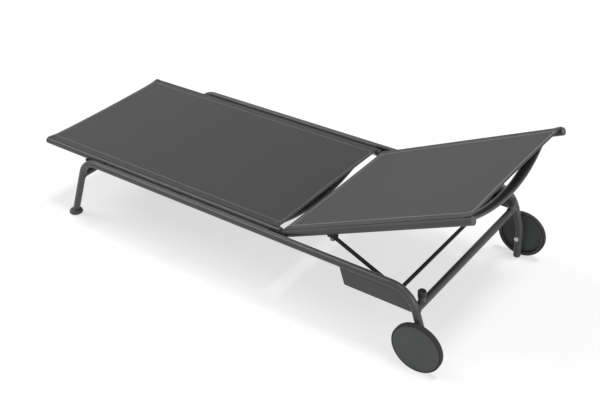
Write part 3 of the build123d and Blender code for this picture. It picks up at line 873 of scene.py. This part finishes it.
def spacer_rings(first, last, low, lip, side):
    """Rings of a block in the gap between a rail and a seat tube, from one end to the other.

    Its two sides follow the tubes' circles as far as the saddle's depth. Its top rises from the lip in a
    straight line and then stays level at the crown.
    """
    along = stations(first, (last, SPACER_STEPS))[:, None]
    rise = np.clip((along - first) / SPACER_RISE_L, 0.0, 1.0)
    top = low + lip + (SPACER_CROWN - low - lip) * rise
    up = low + (top - low) * stations(0.0, (1.0, SADDLE_STEPS))[None, :]
    hollow = np.sqrt(TUBE_R**2 - up**2)
    inner = np.maximum(PANEL_Y + hollow, PANEL_Y + TUBE_R - SADDLE)
    outer = np.minimum(RAIL_Y - hollow, RAIL_Y - TUBE_R + SADDLE)
    across = side * np.concatenate([inner, outer[:, ::-1]], axis=1)
    height = rail_z + np.concatenate([up, up[:, ::-1]], axis=1)
    rings = np.stack([np.broadcast_to(along, across.shape), across, height], axis=-1)
    return rings if side < 0 else rings[:, ::-1]


def seat_spacers():
    """Front and middle spacers on both sides as one piece."""
    low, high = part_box("seat_spacers")
    bottom = low.z - rail_z
    rings = [
        block
        for side in (-1, 1)
        for block in (
            spacer_rings(low.x - SPACER_TONGUE, low.x + FRONT_SPACER_L, bottom, SPACER_LIP, side),
            spacer_rings(high.x - MIDDLE_SPACER_L, high.x, bottom, SPACER_CROWN - bottom, side),
        )
    ]
    rows, columns = rings[0].shape[:2]
    faces = repeated_faces(capped_faces(rows, columns), len(rings), rows * columns)
    points = np.concatenate(rings).reshape(-1, 3)
    made = piece("seat_spacer_blocks", points, faces, spacer_finish, "base")
    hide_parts("seat_spacers")


seat_spacers()


# Stage, light and camera

# Each lamp: its level, the way towards it and its angular width
OVERHEAD = (0.46, (0.17, 0.13, 1.00), math.radians(14.0))
FRONT = (0.31, (-0.58, -0.22, 0.78), math.radians(27.0))
SIDE = (0.50, (0.93, -0.12, 0.25), math.radians(50.0))
LAMP_Z = 3.0

# The light from all round; the floor's glow and share of light as seen, and its paleness to other rays
FILL = 0.29
FLOOR_GLOW = 0.64
FLOOR_SHARE = 0.39
FLOOR_PALE = 0.85
FLOOR_HALF = 15.0
WHITE = (1.0, 1.0, 1.0)

# The photograph's view: azimuth, elevation and roll in degrees, lens and sensor in millimetres
VIEW_ANGLES = (37.85, 32.74, -2.59)
VIEW_TARGET = Vector((foot_edge_x + 1.0455, -0.0055, 0.1916))
VIEW_DISTANCE = 3.6594
LENS = 56.985
SENSOR = 36.0


def seen_rays(wire):
    """One for camera, glossy and transmission rays, zero for the rays that light the lounger."""
    path = wire.node("ShaderNodeLightPath")
    camera, glossy = path.output("Is Camera Ray"), path.output("Is Glossy Ray")
    return camera.larger(glossy).larger(path.output("Is Transmission Ray"))


def white_world():
    """Soft grey light all round, seen as plain white."""
    world = bpy.data.worlds.new("studio")
    world.use_nodes = True
    bpy.context.scene.world = world
    wire = Wire(world.node_tree)
    seen = seen_rays(wire)
    ground = world.node_tree.nodes["Background"]
    ground.inputs["Color"].default_value = shade(WHITE, 1.0)
    world.node_tree.links.new((seen + (1.0 - seen) * FILL).socket, ground.inputs["Strength"])


def white_floor():
    """Plain pale floor: white where it is seen unshadowed, and it keeps the lounger's shadow."""
    finish = bpy.data.materials.new("pale_floor")
    finish.use_nodes = True
    tree = finish.node_tree
    wire = Wire(tree)
    seen = seen_rays(wire)
    plain = wire.node("ShaderNodeBsdfDiffuse", None, {"Color": shade(WHITE, FLOOR_PALE)})
    share = wire.node("ShaderNodeBsdfDiffuse", None, {"Color": shade(WHITE, FLOOR_SHARE)})
    glow = wire.node("ShaderNodeEmission", None, {"Color": shade(WHITE, 1.0), "Strength": FLOOR_GLOW})
    shown = wire.node("ShaderNodeAddShader", None, {0: share, 1: glow})
    mixed = wire.node("ShaderNodeMixShader", None, {0: seen, 1: plain, 2: shown})
    tree.links.new(mixed.socket, tree.nodes["Material Output"].inputs["Surface"])
    corners = [(x * FLOOR_HALF, y * FLOOR_HALF, 0.0) for x, y in ((-1, -1), (1, -1), (1, 1), (-1, 1))]
    mesh = bpy.data.meshes.new("floor")
    mesh.from_pydata(corners, [], [(0, 1, 2, 3)])
    mesh.materials.append(finish)
    floor = bpy.data.objects.new("floor", mesh)
    bpy.context.scene.collection.objects.link(floor)


def soft_lamp(name, level, towards, spread):
    """Far lamp seen as a disc of an angular width: its level is the light on a surface that faces it."""
    lamp = bpy.data.lights.new(name, "SUN")
    lamp.energy = level * math.pi
    lamp.angle = spread
    made = bpy.data.objects.new(name, lamp)
    made.rotation_euler = Vector(towards).to_track_quat("Z", "Y").to_euler()
    made.location = (0.0, 0.0, LAMP_Z)
    bpy.context.scene.collection.objects.link(made)


def photo_camera():
    """Camera at the photograph's view: azimuth, elevation and roll about a target point."""
    azimuth, elevation, roll = (math.radians(angle) for angle in VIEW_ANGLES)
    towards = Vector((
        math.sin(azimuth) * math.cos(elevation),
        -math.cos(azimuth) * math.cos(elevation),
        math.sin(elevation),
    ))
    level = Vector((math.cos(azimuth), math.sin(azimuth), 0.0))
    upright = towards.cross(level)
    right = level * math.cos(roll) + upright * math.sin(roll)
    up = upright * math.cos(roll) - level * math.sin(roll)
    turn = Matrix((right, up, towards)).transposed().to_4x4()
    lens = bpy.data.cameras.new("photo")
    lens.sensor_fit = "HORIZONTAL"
    lens.sensor_width = SENSOR
    lens.lens = LENS
    camera = bpy.data.objects.new("photo", lens)
    camera.matrix_world = Matrix.Translation(VIEW_TARGET + towards * VIEW_DISTANCE) @ turn
    bpy.context.scene.collection.objects.link(camera)
    bpy.context.scene.camera = camera


white_world()
white_floor()
soft_lamp("overhead", *OVERHEAD)
soft_lamp("front", *FRONT)
soft_lamp("side", *SIDE)
photo_camera()
bpy.context.scene.view_settings.view_transform = "Standard"
